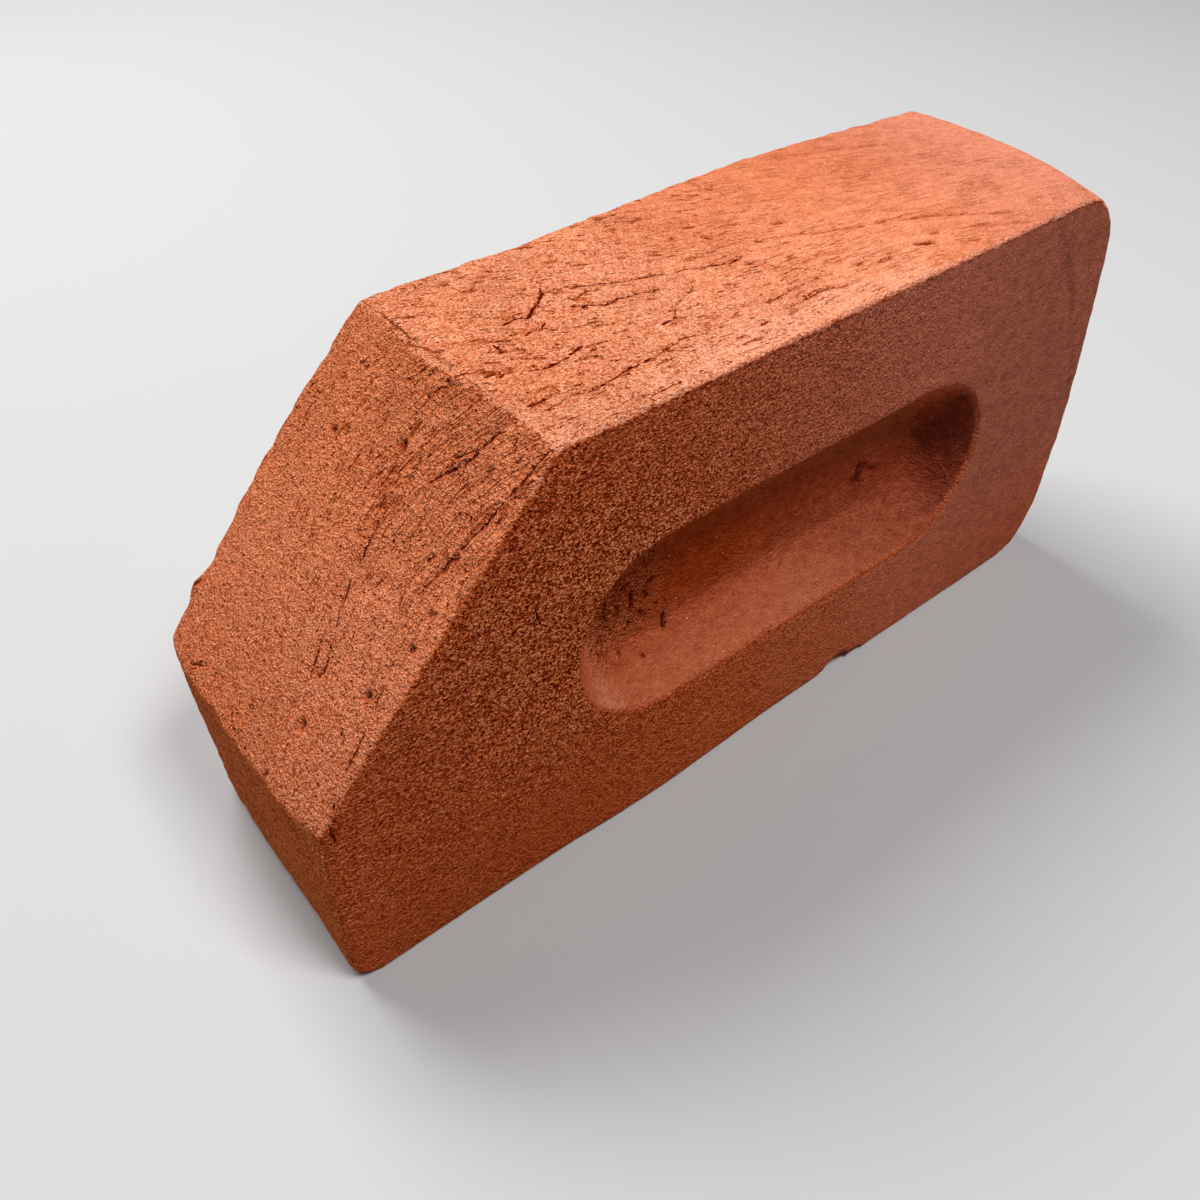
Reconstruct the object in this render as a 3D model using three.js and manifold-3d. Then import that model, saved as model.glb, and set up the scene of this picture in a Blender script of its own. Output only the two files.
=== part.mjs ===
// A single-cant clay facing brick: one 45 degree cut takes off a corner of the bed, so that a wall can turn
// through it. It is moulded and fired in one piece, with a round-ended frog in one bed.
//
// Millimetres, +Z up. The brick stands on a stretcher face: X runs along its length with the cant at the -X
// end, Y runs from the frogged bed (-Y) to the plain bed (+Y), and Z is its width. The origin is the middle of
// the footprint.

import * as THREE from "three";
import { mergeVertices, toCreasedNormals } from "three/addons/utils/BufferGeometryUtils.js";
import Module from "manifold-3d";

// The block
const brickLength = 215;
const brickWidth = 102.5;
const brickHeight = 65;
const cantRun = 56; // how much of the stretcher face the cant takes
const cantRise = 56; // how much of the short end it takes

// Arris radii: where each side meets the frogged bed and the plain bed
const baseArris = { frogged: 2, plain: 2 };
const squareEndArris = { frogged: 4, plain: 3 };
const topArris = { frogged: 1.5, plain: 2 };
const cantArris = { frogged: 1.5, plain: 2 };
const shortEndArris = { frogged: 2.5, plain: 2.5 };

// Corner radii: where two sides meet, in the plane of the beds
const heelRadius = 13; // base and square end
const toeRadius = 6; // base and short end
const cantTopRadius = 2;
const cantFootRadius = 2.5;
const farCornerRadius = 5; // square end and top, at the plain bed
const bluntCornerRadius = 20; // the same corner where the frogged bed blunts it
const bluntDepth = 45; // how far in from the frogged bed the blunting dies out

// The frog
const frogLength = 118.5; // rim to rim
const frogWidth = 45;
const frogDepth = 12;
const frogDraft = 8.5; // how far each wall leans in between the rim and the floor
const frogLipRadius = 1.2;
const frogFloorRadius = 5;
const frogEndMargin = 39.5; // rim to square end
const frogDrop = 0.6; // how far below mid width the frog's centre line lies

// Facets
const cornerSteps = 8;
const arrisSteps = 4;
const bluntSteps = 8;
const frogEndSteps = 24; // round each half-circle end
const lipSteps = 4;
const floorFilletSteps = 6;
const cutterProud = 1; // how far the frog's cutter stands out of the bed
const smoothBelow = THREE.MathUtils.degToRad(30);

const wasm = await Module();
wasm.setup();

const lerp = THREE.MathUtils.lerp;
const fractions = (steps) => Array.from({ length: steps + 1 }, (_, i) => i / steps);

// The tangent arc that rounds the corner of the path before -> corner -> after, as steps + 1 points.
function cornerArc(before, corner, after, radius, steps) {
  const inward = before.clone().sub(corner).normalize();
  const outward = after.clone().sub(corner).normalize();
  const halfAngle = inward.angleTo(outward) / 2;
  const bisector = inward.clone().add(outward).normalize();
  const centre = corner.clone().addScaledVector(bisector, radius / Math.sin(halfAngle));
  const start = corner.clone().addScaledVector(inward, radius / Math.tan(halfAngle)).sub(centre);
  const turn = Math.PI - 2 * halfAngle;
  const sense = Math.sign(outward.cross(inward));
  return fractions(steps).map((t) =>
    start.clone().rotateAround(new THREE.Vector2(), sense * turn * t).add(centre),
  );
}

// Where two lines meet, each given by a point on it and its direction.
function meet(pointA, directionA, pointB, directionB) {
  const along = pointB.clone().sub(pointA).cross(directionB) / directionA.cross(directionB);
  return pointA.clone().addScaledVector(directionA, along);
}

// A closed surface through rings of equal length. The rings run anticlockwise as seen from -Y and follow each
// other towards +Y, and the first and last are flat and convex.
function loft(rings) {
  const count = rings[0].length;
  const indices = [];
  for (let ring = 0; ring + 1 < rings.length; ring++) {
    for (let i = 0; i < count; i++) {
      const a = ring * count + i;
      const b = ring * count + ((i + 1) % count);
      indices.push(a, a + count, b + count, a, b + count, b);
    }
  }
  const last = (rings.length - 1) * count;
  for (let i = 1; i + 1 < count; i++) {
    indices.push(0, i, i + 1);
    indices.push(last, last + i + 1, last + i);
  }
  const geometry = new THREE.BufferGeometry().setFromPoints(rings.flat());
  geometry.setIndex(indices);
  return geometry;
}

// The sides of the block anticlockwise from the base. Each starts at `corner`, which `radiusAt` rounds: its
// argument runs from 1 at the frogged bed to 0 where the blunting has died out.
const right = brickLength / 2;
const left = -brickLength / 2;
const sides = [
  { corner: new THREE.Vector2(left, 0), radiusAt: () => toeRadius, arris: baseArris },
  { corner: new THREE.Vector2(right, 0), radiusAt: () => heelRadius, arris: squareEndArris },
  {
    corner: new THREE.Vector2(right, brickWidth),
    radiusAt: (blunting) => lerp(farCornerRadius, bluntCornerRadius, blunting),
    arris: topArris,
  },
  {
    corner: new THREE.Vector2(left + cantRun, brickWidth),
    radiusAt: () => cantTopRadius,
    arris: cantArris,
  },
  {
    corner: new THREE.Vector2(left, brickWidth - cantRise),
    radiusAt: () => cantFootRadius,
    arris: shortEndArris,
  },
];

// One ring round the block. insetOf(side) draws a side in from its full place, and yOf(side) places it along Y.
function blockRing(insetOf, yOf, blunting) {
  const lines = sides.map((side, k) => {
    const next = sides[(k + 1) % sides.length];
    const direction = next.corner.clone().sub(side.corner).normalize();
    const inwards = new THREE.Vector2(-direction.y, direction.x);
    const point = side.corner.clone().addScaledVector(inwards, insetOf(side));
    return { point, direction, inset: insetOf(side), y: yOf(side) };
  });
  const corners = lines.map((line, k) => {
    const previous = lines.at(k - 1);
    return meet(previous.point, previous.direction, line.point, line.direction);
  });
  return lines.flatMap((line, k) => {
    const previous = lines.at(k - 1);
    const next = corners[(k + 1) % corners.length];
    const drawnIn = (previous.inset + line.inset) / 2;
    const radius = Math.max(sides[k].radiusAt(blunting) - drawnIn, 0.1);
    const arc = cornerArc(corners.at(k - 1), corners[k], next, radius, cornerSteps);
    return arc.map((p, i) => new THREE.Vector3(p.x, lerp(previous.y, line.y, i / cornerSteps), p.y));
  });
}

// The block: a quarter-round arris at each bed, and between them the corner whose blunting dies out.
function blockGeometry() {
  const froggedBed = -brickHeight / 2;
  const plainBed = brickHeight / 2;
  const quarter = (t) => ({
    inset: 1 - Math.sin((t * Math.PI) / 2),
    depth: 1 - Math.cos((t * Math.PI) / 2),
  });
  const froggedArris = fractions(arrisSteps).map((t) =>
    blockRing(
      (side) => side.arris.frogged * quarter(t).inset,
      (side) => froggedBed + side.arris.frogged * quarter(t).depth,
      1,
    ),
  );
  const bluntZone = fractions(bluntSteps).slice(1).map((t) =>
    blockRing(
      () => 0,
      (side) => froggedBed + lerp(side.arris.frogged, bluntDepth, t),
      (1 - t) ** 2,
    ),
  );
  const plainArris = fractions(arrisSteps).reverse().map((t) =>
    blockRing(
      (side) => side.arris.plain * quarter(t).inset,
      (side) => plainBed - side.arris.plain * quarter(t).depth,
      0,
    ),
  );
  return loft([...froggedArris, ...bluntZone, ...plainArris]);
}

// The frog's section: from the bed over the rounded lip, down the leaning wall and round into the floor.
// x is how far the wall has leaned in from the rim, and y is the depth below the bed.
function frogSection() {
  const bed = new THREE.Vector2(-frogLipRadius * 2, 0);
  const rim = new THREE.Vector2(0, 0);
  const foot = new THREE.Vector2(frogDraft, frogDepth);
  const floor = new THREE.Vector2(frogWidth / 2, frogDepth);
  return [
    ...cornerArc(bed, rim, foot, frogLipRadius, lipSteps),
    ...cornerArc(rim, foot, floor, frogFloorRadius, floorFilletSteps),
  ];
}

// A round-ended ring of the frog, drawn in from the rim by `leanIn`, at a depth below the frogged bed.
function frogRing(leanIn, depth) {
  const radius = frogWidth / 2 - leanIn;
  const centreX = brickLength / 2 - frogEndMargin - frogLength / 2;
  const centreZ = brickWidth / 2 - frogDrop;
  const endOffset = (frogLength - frogWidth) / 2;
  return [1, -1].flatMap((end) =>
    fractions(frogEndSteps).map((t) => {
      const angle = Math.PI * (t - 0.5);
      return new THREE.Vector3(
        centreX + end * (endOffset + radius * Math.cos(angle)),
        depth - brickHeight / 2,
        centreZ + end * radius * Math.sin(angle),
      );
    }),
  );
}

function frogGeometry() {
  const section = frogSection();
  const mouth = frogRing(section[0].x, -cutterProud);
  return loft([mouth, ...section.map((p) => frogRing(p.x, p.y))]);
}

function solidOf(geometry) {
  const merged = mergeVertices(geometry);
  return new wasm.Manifold(
    new wasm.Mesh({
      numProp: 3,
      vertProperties: merged.attributes.position.array,
      triVerts: new Uint32Array(merged.index.array),
    }),
  );
}

function geometryOf(solid) {
  const mesh = solid.getMesh();
  const geometry = new THREE.BufferGeometry();
  geometry.setAttribute("position", new THREE.BufferAttribute(mesh.vertProperties, 3));
  geometry.setIndex(new THREE.BufferAttribute(mesh.triVerts, 1));
  return toCreasedNormals(geometry, smoothBelow);
}

const firedClay = new THREE.MeshStandardMaterial({ color: 0xb4603f, roughness: 0.95, metalness: 0 });

const brick = new THREE.Mesh(
  geometryOf(solidOf(blockGeometry()).subtract(solidOf(frogGeometry()))),
  firedClay,
);
brick.name = "single_cant_brick";

const part = new THREE.Group();
part.add(brick);

export default part;
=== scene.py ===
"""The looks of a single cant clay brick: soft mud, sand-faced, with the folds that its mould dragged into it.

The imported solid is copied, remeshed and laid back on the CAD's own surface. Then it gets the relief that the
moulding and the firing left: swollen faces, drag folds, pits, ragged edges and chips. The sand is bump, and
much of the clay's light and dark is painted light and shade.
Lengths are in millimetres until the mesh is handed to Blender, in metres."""

import math
from types import SimpleNamespace

import bpy
import numpy as np
from mathutils import Matrix, Vector
from mathutils.bvhtree import BVHTree


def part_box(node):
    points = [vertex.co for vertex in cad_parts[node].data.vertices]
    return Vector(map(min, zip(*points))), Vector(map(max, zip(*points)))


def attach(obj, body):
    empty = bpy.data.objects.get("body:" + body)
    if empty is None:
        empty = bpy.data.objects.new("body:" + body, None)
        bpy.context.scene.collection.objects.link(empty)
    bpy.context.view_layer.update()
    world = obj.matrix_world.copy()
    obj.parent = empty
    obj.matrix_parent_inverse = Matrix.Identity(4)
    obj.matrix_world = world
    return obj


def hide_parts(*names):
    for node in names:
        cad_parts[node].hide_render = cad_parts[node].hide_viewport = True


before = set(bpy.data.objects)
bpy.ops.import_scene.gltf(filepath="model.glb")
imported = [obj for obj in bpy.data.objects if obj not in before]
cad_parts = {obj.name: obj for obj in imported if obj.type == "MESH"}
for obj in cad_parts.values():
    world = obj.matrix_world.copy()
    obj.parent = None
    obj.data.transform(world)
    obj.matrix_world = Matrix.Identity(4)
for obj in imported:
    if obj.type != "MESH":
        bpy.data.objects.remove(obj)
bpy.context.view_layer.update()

MM = 0.001
NODE = "single_cant_brick"

low, high = (np.array(corner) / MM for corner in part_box(NODE))
SHORT_END, FRONT, BASE = low
SQUARE_END, BACK, TOP = high
CANT = 56.0  # how much of the top the cant takes
RIDGE = SHORT_END + CANT  # where the cant meets the top
FROG_X, FROG_Z = 9.0, 50.6  # the middle of the frog
FROG_HALF_LENGTH, FROG_HALF_WIDTH, FROG_REACH_IN = 61, 23, 14  # what holds all of it

# The photograph's camera: where it stands, and how far, in degrees, it is turned from looking straight down
PHOTO_SIZE = 1200  # pixels, both ways
FOCAL = 1081.8  # pixels
EYE = np.array((-131.168, -146.352, 199.055))
HEADING, TILT, ROLL = -37.03, 47.134, -1.938


def turn(degrees, axis):
    return Matrix.Rotation(math.radians(degrees), 3, axis)


CAMERA_AXES = turn(HEADING, "Z") @ turn(TILT, "X") @ turn(ROLL, "Z")
CAMERA_RIGHT, CAMERA_UP, CAMERA_BACK = np.array(CAMERA_AXES).T

# ---------------------------------------------------------------- noise

WORD = 0xFFFFFFFF  # 32 bits


def hashed(ix, iy, iz, seed):
    """A repeatable random number from -1 to 1 for each lattice point."""
    n = (ix * 374761393 + iy * 668265263 + iz * 1440662683 + seed * 974634777) & WORD
    n = ((n ^ (n >> 13)) * 1274126177) & WORD
    n = ((n ^ (n >> 16)) * 2246822519) & WORD
    return ((n ^ (n >> 15)) & 0xFFFFFF) / 0x7FFFFF - 1.0


def noise(points, size, seed):
    """Smooth value noise from -1 to 1, whose blobs are about size across."""
    p = points / size
    cell = np.floor(p).astype(np.int64)
    f = p - cell
    f = f * f * f * (f * (f * 6 - 15) + 10)
    total = 0.0
    for corner in range(8):
        step = [corner >> k & 1 for k in range(3)]
        weight = 1.0
        for k in range(3):
            weight = weight * (f[:, k] if step[k] else 1 - f[:, k])
        total = total + weight * hashed(*(cell[:, k] + step[k] for k in range(3)), seed)
    return total


def softly(x, blend):
    """x above zero and nothing below it, with a smooth change over about blend."""
    return (x + np.hypot(x, blend)) / 2


def smoothstep(a, b, x):
    """0 on a's side and 1 on b's, and smooth between them. a may be the larger."""
    t = np.clip((x - a) / (b - a), 0, 1)
    return t * t * (3 - 2 * t)


def blob(x, z, centre, reach):
    """1 at the centre, dying away over reach, both given on X and Z."""
    return np.exp(-(((x - centre[0]) / reach[0]) ** 2) - ((z - centre[1]) / reach[1]) ** 2)


# ---------------------------------------------------------------- what the photograph shows

# A point on the plane of each face, and the plane's normal
FACES = {
    "top": ((0, 0, TOP), (0, 0, 1)),
    "cant": ((RIDGE, 0, TOP), (-math.sqrt(0.5), 0, math.sqrt(0.5))),
    "front": ((0, FRONT, 0), (0, -1, 0)),
}


def arrays_of(mesh):
    """A mesh's points, in millimetres, and its triangles."""
    mesh.calc_loop_triangles()
    points = np.zeros(len(mesh.vertices) * 3)
    mesh.vertices.foreach_get("co", points)
    tris = np.zeros(len(mesh.loop_triangles) * 3, np.int32)
    mesh.loop_triangles.foreach_get("vertices", tris)
    return points.reshape(-1, 3) / MM, tris.reshape(-1, 3).astype(np.int64)


SOLID = BVHTree.FromPolygons(*(a.tolist() for a in arrays_of(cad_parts[NODE].data)))


def rays_through(pixels):
    """The directions, from the eye, of the camera's rays through pixels of the photograph."""
    x, y = (np.array(pixels, float) - PHOTO_SIZE / 2).T
    return np.outer(x, CAMERA_RIGHT) - np.outer(y, CAMERA_UP) - FOCAL * CAMERA_BACK


def on_face(face, pixels):
    """Where the rays through pixels of the photograph meet the plane of a face."""
    place, normal = (np.array(v, float) for v in FACES[face])
    rays = rays_through(pixels)
    reach = (place - EYE) @ normal / (rays @ normal)
    return EYE + reach[:, None] * rays


# Folds and pits as (depth, half width, path). Each path was picked in the photograph's pixels.
TOP_FOLDS = [
    (1.2, 0.42, [
        (539, 287), (542, 295), (537, 302), (531, 310),
        (528, 317), (515, 318), (508, 322), (501, 327),
    ]),
    (0.9, 0.36, [(545, 322), (542, 328), (533, 330), (528, 333), (525, 336)]),
    (0.6, 0.30, [(520, 338), (510, 340), (498, 341), (485, 340)]),
    (0.8, 0.36, [(494, 344), (498, 347), (502, 349), (501, 353)]),
    (0.35, 0.34, [(412, 338), (420, 340), (428, 342), (437, 345), (447, 348)]),
    (0.75, 0.34, [(587, 393), (604, 385), (620, 375), (632, 368), (640, 364)]),
    (0.6, 0.34, [(640, 364), (653, 357), (665, 350), (676, 342), (685, 336), (698, 334)]),
    (0.8, 0.36, [(583, 346), (576, 350), (570, 355)]),
    (0.6, 0.36, [(683, 382), (672, 386), (660, 392), (651, 397)]),
    (0.8, 0.34, [(570, 356), (562, 359), (557, 363), (547, 367), (527, 371)]),
    (1.0, 0.42, [(512, 371), (503, 373), (501, 378)]),
    (0.7, 0.32, [(487, 367), (477, 370), (467, 371), (458, 376), (454, 378)]),
    (0.6, 0.45, [(484, 376), (495, 374)]),
    (1.0, 0.42, [(558, 392), (547, 397), (543, 399), (538, 402), (532, 404), (525, 406)]),
    (0.9, 0.36, [(515, 412), (507, 414), (500, 416), (497, 420)]),
    (0.7, 0.36, [
        (561, 287), (575, 286), (593, 283), (615, 282),
        (627, 279), (640, 277), (653, 274), (673, 273),
    ]),
    (0.7, 0.36, [(673, 273), (683, 268), (705, 266), (720, 264), (732, 262), (738, 259), (743, 253)]),
    (0.4, 0.30, [(742, 264), (760, 265), (775, 264)]),
    (0.6, 0.34, [(568, 299), (578, 297), (582, 292), (602, 287)]),
    (0.8, 0.38, [(568, 307), (585, 304), (600, 304), (610, 301), (618, 297), (627, 296)]),
    (0.7, 0.34, [(627, 296), (635, 293), (648, 291), (660, 287)]),
    (0.6, 0.34, [
        (697, 283), (692, 290), (683, 297), (678, 302),
        (675, 310), (675, 317), (667, 321), (660, 324),
    ]),
    (0.9, 0.42, [(777, 237), (793, 236), (807, 235), (822, 233), (838, 230), (854, 229), (870, 226)]),
    (0.8, 0.42, [(870, 226), (890, 221), (910, 218), (932, 216), (960, 214), (1000, 212), (1020, 212)]),
    (0.9, 0.38, [
        (850, 249), (840, 253), (827, 254), (817, 257),
        (805, 262), (797, 268), (785, 273), (773, 276),
    ]),
    (0.8, 0.36, [
        (838, 272), (820, 277), (810, 282), (802, 284),
        (793, 289), (780, 297), (773, 300), (760, 303),
    ]),
    (1.2, 0.42, [(848, 287), (840, 287), (830, 288), (820, 292), (808, 297), (798, 302), (783, 310)]),
    (0.6, 0.34, [(758, 325), (768, 320)]),
    (0.6, 0.42, [(720, 327), (727, 323)]),
    (0.6, 0.40, [(948, 229), (968, 226), (990, 225), (1010, 222), (1032, 220)]),
    (1.0, 0.46, [(850, 263), (856, 265), (866, 261), (880, 262), (889, 260), (890, 251)]),
    (0.6, 0.36, [(820, 256), (832, 255), (842, 252), (850, 249)]),
    (0.4, 0.36, [(757, 220), (777, 213), (793, 209), (810, 207)]),
    (0.4, 0.36, [(760, 163), (785, 160), (810, 157)]),
    (0.4, 0.36, [(725, 188), (748, 187)]),
    (0.5, 0.40, [(826, 151), (850, 149), (872, 146), (888, 144)]),
    (0.5, 0.40, [(884, 182), (900, 180)]),
    (0.4, 0.40, [(916, 166), (940, 165), (950, 164), (972, 161), (994, 160)]),
]
TOP_PITS = [
    (1.4, 0.60, [(918, 244), (932, 242)]),
    (0.7, 0.45, [(970, 240), (978, 239)]),
    (0.7, 0.50, [(933, 233), (937, 232)]),
    (0.9, 0.50, [(775, 225), (785, 223)]),
    (0.8, 0.45, [(703, 236), (713, 238)]),
    (0.7, 0.50, [(606, 231), (616, 229)]),
    (0.6, 0.45, [(632, 223), (641, 219)]),
    (0.7, 0.50, [(672, 238), (674, 238)]),
    (0.7, 0.50, [(650, 252), (654, 252)]),
    (0.7, 0.50, [(620, 257), (624, 257)]),
    (0.7, 0.50, [(688, 259), (692, 258)]),
    (0.7, 0.50, [(758, 242), (762, 242)]),
    (0.7, 0.50, [(712, 190), (715, 190)]),
    (0.7, 0.50, [(689, 183), (692, 183)]),
    (0.9, 0.50, [(413, 338), (410, 337)]),
    (0.8, 0.55, [(463, 291), (473, 290)]),
    (0.7, 0.45, [(520, 292), (523, 291)]),
    (0.7, 0.50, [(550, 312), (553, 310)]),
    (0.7, 0.50, [(558, 289), (560, 289)]),
    (0.6, 0.45, [(596, 356), (603, 357)]),
    (0.6, 0.50, [(583, 305), (585, 307)]),
]
CANT_FOLDS = [
    (1.5, 0.55, [(452, 375), (453, 380), (454, 385)]),
    (1.1, 0.46, [(454, 385), (447, 383), (440, 387), (437, 391), (430, 396)]),
    (1.0, 0.40, [
        (508, 432), (498, 433), (493, 437), (490, 442),
        (482, 446), (473, 451), (460, 456), (452, 459),
    ]),
    (1.0, 0.38, [(481, 452), (472, 458), (462, 467), (450, 472), (440, 477), (427, 485)]),
    (0.8, 0.42, [(518, 440), (513, 448)]),
    (0.7, 0.34, [(523, 457), (517, 463)]),
    (0.8, 0.34, [(552, 447), (538, 464), (527, 477), (515, 492), (503, 503)]),
    (0.9, 0.38, [(503, 503), (498, 507), (490, 518), (481, 531), (472, 537), (467, 546), (458, 551)]),
    (0.7, 0.36, [(458, 551), (457, 558), (447, 562), (440, 573), (430, 583), (415, 600)]),
    (0.6, 0.34, [(497, 468), (488, 473)]),
    (0.6, 0.34, [(422, 460), (413, 470)]),
    (0.6, 0.36, [(389, 477), (382, 485)]),
    (0.7, 0.36, [
        (397, 498), (390, 507), (385, 513), (383, 517),
        (377, 527), (367, 547), (365, 555), (357, 568),
    ]),
    (0.5, 0.34, [(352, 578), (346, 596), (340, 613), (337, 627)]),
    (1.1, 0.44, [(337, 632), (335, 639), (332, 645), (330, 652), (327, 663), (323, 673), (316, 680)]),
    (0.6, 0.36, [(323, 636), (318, 650), (311, 672), (308, 682)]),
    (0.8, 0.40, [(388, 682), (378, 700), (375, 712)]),
    (0.6, 0.34, [(367, 727), (362, 738), (357, 748), (348, 767), (345, 773)]),
    (0.5, 0.36, [(288, 742), (282, 762)]),
    (0.6, 0.40, [(232, 728), (237, 730), (239, 734)]),
    (0.6, 0.36, [(428, 542), (422, 548)]),
    (0.6, 0.36, [(437, 555), (428, 560)]),
    (0.7, 0.42, [(322, 382), (315, 387)]),
    (0.6, 0.38, [(351, 335), (348, 341), (345, 348)]),
    (0.9, 0.45, [(331, 803), (328, 812), (326, 820)]),
    (0.6, 0.40, [(383, 580), (375, 587)]),
    (0.6, 0.34, [(470, 515), (469, 522)]),
    (1.2, 0.40, [(201, 580), (196, 587), (190.6, 595)]),
    (0.6, 0.34, [(189, 664), (198, 666), (207, 667)]),
]
CANT_PITS = [
    (0.9, 0.55, [(336, 430), (338, 431)]),
    (0.8, 0.55, [(402, 443), (404, 443)]),
    (0.9, 0.60, [(366, 696), (369, 695)]),
    (0.8, 0.55, [(411, 651), (413, 649)]),
    (0.9, 0.55, [(301, 727), (303, 723)]),
    (0.7, 0.50, [(264, 775), (266, 773)]),
    (0.8, 0.50, [(429, 615), (431, 613)]),
]
FRONT_FOLDS = [
    (0.5, 0.80, [(1058, 205), (1061, 223), (1062, 245), (1067, 262)]),
    (0.5, 0.80, [(1068, 250), (1071, 270), (1074, 293), (1073, 320)]),
    (0.4, 0.80, [(1073, 343), (1069, 365), (1064, 397)]),
    (1.0, 0.40, [(537, 608), (538, 615), (539, 625)]),
    (0.8, 0.40, [(325, 822), (324, 830), (326, 842), (329, 850)]),
]
FROG_FOLDS = [
    (1.2, 0.34, [(664, 612), (663, 619), (662, 628)]),
    (0.8, 0.30, [(607, 601), (604, 611), (606, 622)]),
]
FROG_PITS = [
    (1.0, 0.60, [(632, 594), (632, 606)]),
    (0.7, 0.38, [(622, 590), (625, 588)]),
    (0.7, 0.40, [(645, 592), (648, 596)]),
    (0.8, 0.42, [(616, 606), (617, 611)]),
    (0.7, 0.40, [(640, 612), (643, 615)]),
    (0.7, 0.38, [(655, 604), (657, 603)]),
    (0.7, 0.36, [(650, 580), (654, 578)]),
    (0.7, 0.36, [(629, 623), (631, 626)]),
    (0.7, 0.40, [(600, 654), (601, 656)]),
    (0.7, 0.40, [(619, 652), (621, 653)]),
    (0.7, 0.40, [(643, 655), (645, 656)]),
    (0.55, 0.70, [(857, 479), (858, 470)]),
    (0.50, 0.65, [(859, 466), (866, 465)]),
    (0.50, 0.65, [(869, 469), (875, 468)]),
    (0.35, 0.60, [(852, 480), (863, 481)]),
]


def placed(**faces):
    """Paths put on the brick, as (depth, half width, points, normal there). Those in the frog follow it."""
    found = []
    for face, paths in faces.items():
        for depth, width, path in paths:
            if face == "frog":
                hits = [SOLID.ray_cast(Vector(EYE), Vector(ray)) for ray in rays_through(path)]
                found.append((depth, width, np.array([hit[0] for hit in hits]), np.array(hits[0][1])))
            else:
                found.append((depth, width, on_face(face, path), np.array(FACES[face][1])))
    return found


FOLDS = placed(top=TOP_FOLDS, cant=CANT_FOLDS, front=FRONT_FOLDS, frog=FROG_FOLDS)
PITS = placed(top=TOP_PITS, cant=CANT_PITS, frog=FROG_PITS)

# ---------------------------------------------------------------- mesh

VOXEL = 1.6  # the size of the even mesh's faces
NEVER = 9.0  # longer than any edge

# The rounds of splitting, as the longest edge that each leaves on a face turned up, near a fold or pit, and
# where the surface bends
ROUNDS = ((1.05, 1.0, 1.0), (NEVER, 0.6, 0.65), (NEVER, 0.42, NEVER))
NEAR = 0.9  # how far from a path still counts as near it
BEND = math.cos(math.radians(9))


def even_mesh(source, voxel):
    """A copy of source remeshed to even quads, as points and triangles."""
    work = bpy.data.objects.new("work", source.data.copy())
    bpy.context.scene.collection.objects.link(work)
    remesh = work.modifiers.new("even", "REMESH")
    remesh.mode = "VOXEL"
    remesh.voxel_size = voxel * MM
    graph = bpy.context.evaluated_depsgraph_get()
    mesh = bpy.data.meshes.new_from_object(work.evaluated_get(graph))
    arrays = arrays_of(mesh)
    bpy.data.objects.remove(work)
    bpy.data.meshes.remove(mesh)
    return arrays


def split_edges(points, tris, wanted):
    """Halves each edge for which wanted(starts, ends) is true, and splits the triangles on it to suit."""
    sides = np.stack([tris, np.roll(tris, -1, axis=1)], axis=2)
    pairs = np.sort(sides.reshape(-1, 2), axis=1)
    edges, of_side = np.unique(pairs, axis=0, return_inverse=True)
    of_side = of_side.reshape(-1, 3)
    split = wanted(*edges.T)
    new_id = len(points) + np.cumsum(split) - 1
    points = np.concatenate([points, points[edges[split]].mean(axis=1)])
    marked = split[of_side]
    count = marked.sum(axis=1)

    # A triangle with no split side stays, and one with one, two or three makes two, three or four triangles.
    done = [tris[count == 0]]
    for k in range(3):
        order = [k, (k + 1) % 3, (k + 2) % 3]
        corners, on_side, middles = tris[:, order], marked[:, order], new_id[of_side[:, order]]
        one = (count == 1) & on_side[:, 0]
        (a, b, c), ab = corners[one].T, middles[one, 0]
        done += [np.stack([a, ab, c], 1), np.stack([ab, b, c], 1)]
        two = (count == 2) & ~on_side[:, 2]
        (a, b, c), ab, bc = corners[two].T, middles[two, 0], middles[two, 1]
        done += [np.stack([ab, b, bc], 1), np.stack([a, ab, bc], 1), np.stack([a, bc, c], 1)]
    three = count == 3
    (a, b, c), (ab, bc, ca) = tris[three].T, new_id[of_side[three]].T
    done += [np.stack(quarter, 1) for quarter in ((a, ab, ca), (ab, b, bc), (ca, bc, c), (ab, bc, ca))]
    return points, np.concatenate(done)


def laid_on(tree, points):
    """The nearest points of the CAD's surface, and its normals there."""
    found = [tree.find_nearest(Vector(p))[:2] for p in points]
    return np.array([tuple(place) for place, _ in found]), np.array([tuple(normal) for _, normal in found])


def normals_of(points, tris):
    """The normal at each point, from its triangles by their areas."""
    a, b, c = (points[tris[:, k]] for k in range(3))
    face = np.cross(b - a, c - a)
    total = np.zeros_like(points)
    for k in range(3):
        for axis in range(3):
            total[:, axis] += np.bincount(tris[:, k], face[:, axis], len(points))
    return total / np.maximum(np.linalg.norm(total, axis=1, keepdims=True), 1e-12)


def refined_copy(source):
    """source as an even mesh on its own surface, finer on faces turned up, near folds and where it bends."""
    points, tris = even_mesh(source, VOXEL)
    for on_top, near_fold, on_bend in ROUNDS:
        points, facing = laid_on(SOLID, points)

        def wanted(a, b):
            length = np.linalg.norm(points[a] - points[b], axis=1)
            middle = (points[a] + points[b]) / 2
            bent = (facing[a] * facing[b]).sum(axis=1) < BEND
            turned_up = (facing[a, 2] > 0.5) & (facing[b, 2] > 0.5)
            near = np.zeros(len(a), bool)
            long = length > near_fold
            near[long] = near_paths(middle[long], FOLDS + PITS, NEAR)
            return near | (bent & (length > on_bend)) | (turned_up & (length > on_top))

        points, tris = split_edges(points, tris, wanted)
    points, _ = laid_on(SOLID, points)
    return points, tris


# ---------------------------------------------------------------- folds and pits

# How far a fold and a pit reach
FOLD_REACH = 4
PIT_REACH = 3


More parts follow.
